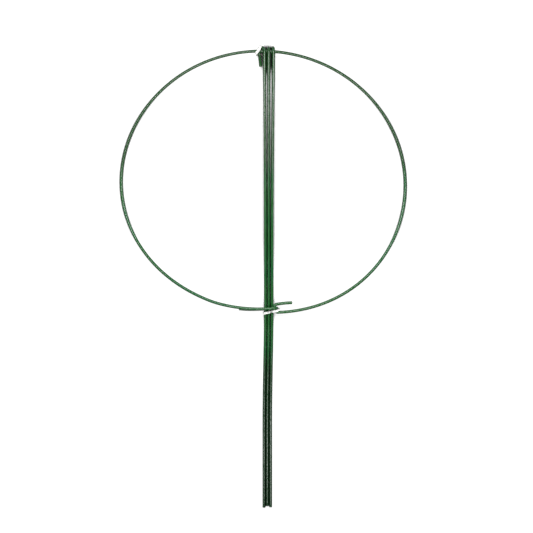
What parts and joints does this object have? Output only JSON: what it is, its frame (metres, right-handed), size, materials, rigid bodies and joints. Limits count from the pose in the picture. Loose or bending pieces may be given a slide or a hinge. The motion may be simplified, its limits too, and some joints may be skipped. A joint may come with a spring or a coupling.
{
  "type": "hoop plant support",
  "caption": "Green coated-wire plant support: an open hoop with hook-on stake legs that swing out, packed flat and bound with white twist ties.",
  "frame": {"origin": "below the middle of the packed support's outer box, on the surface that it lies on", "axes": "+Y along the legs towards their hooks, +X to the hoop's right as pictured, +Z away from the surface"},
  "size_m": [0.3796, 0.611, 0.0225],
  "materials": {
    "steel_core": "drawn mild steel wire, bare only at the cut ends",
    "green_coat": "smooth glossy extruded coat, dark leaf green",
    "white_tie": "thin white flat strip with a ridge over its wire"
  },
  "bodies": {
    "hoop": {"hoop_core": "steel_core", "hoop_coat": "green_coat", "closure_tie": "white_tie", "head_tie": "white_tie"},
    "left_leg": {"left_leg_core": "steel_core", "left_leg_coat": "green_coat"},
    "middle_leg": {"middle_leg_core": "steel_core", "middle_leg_coat": "green_coat"},
    "right_leg": {"right_leg_core": "steel_core", "right_leg_coat": "green_coat"}
  },
  "joints": [
    {"name": "left_leg_swing", "type": "hinge", "parent": "hoop", "child": "left_leg", "pos_m": [-0.00231, 0.29798, 0.00965], "axis": [1, 0, 0], "range_deg": [0, 180], "deforming": ["closure_tie", "head_tie"]},
    {"name": "middle_leg_swing", "type": "hinge", "parent": "hoop", "child": "middle_leg", "pos_m": [0.00664, 0.29778, 0.00964], "axis": [1, 0, 0], "range_deg": [0, 180], "deforming": ["closure_tie"]},
    {"name": "right_leg_swing", "type": "hinge", "parent": "hoop", "child": "right_leg", "pos_m": [0.01263, 0.29742, 0.00962], "axis": [1, 0, 0], "range_deg": [0, 180], "deforming": ["closure_tie"]}
  ]
}
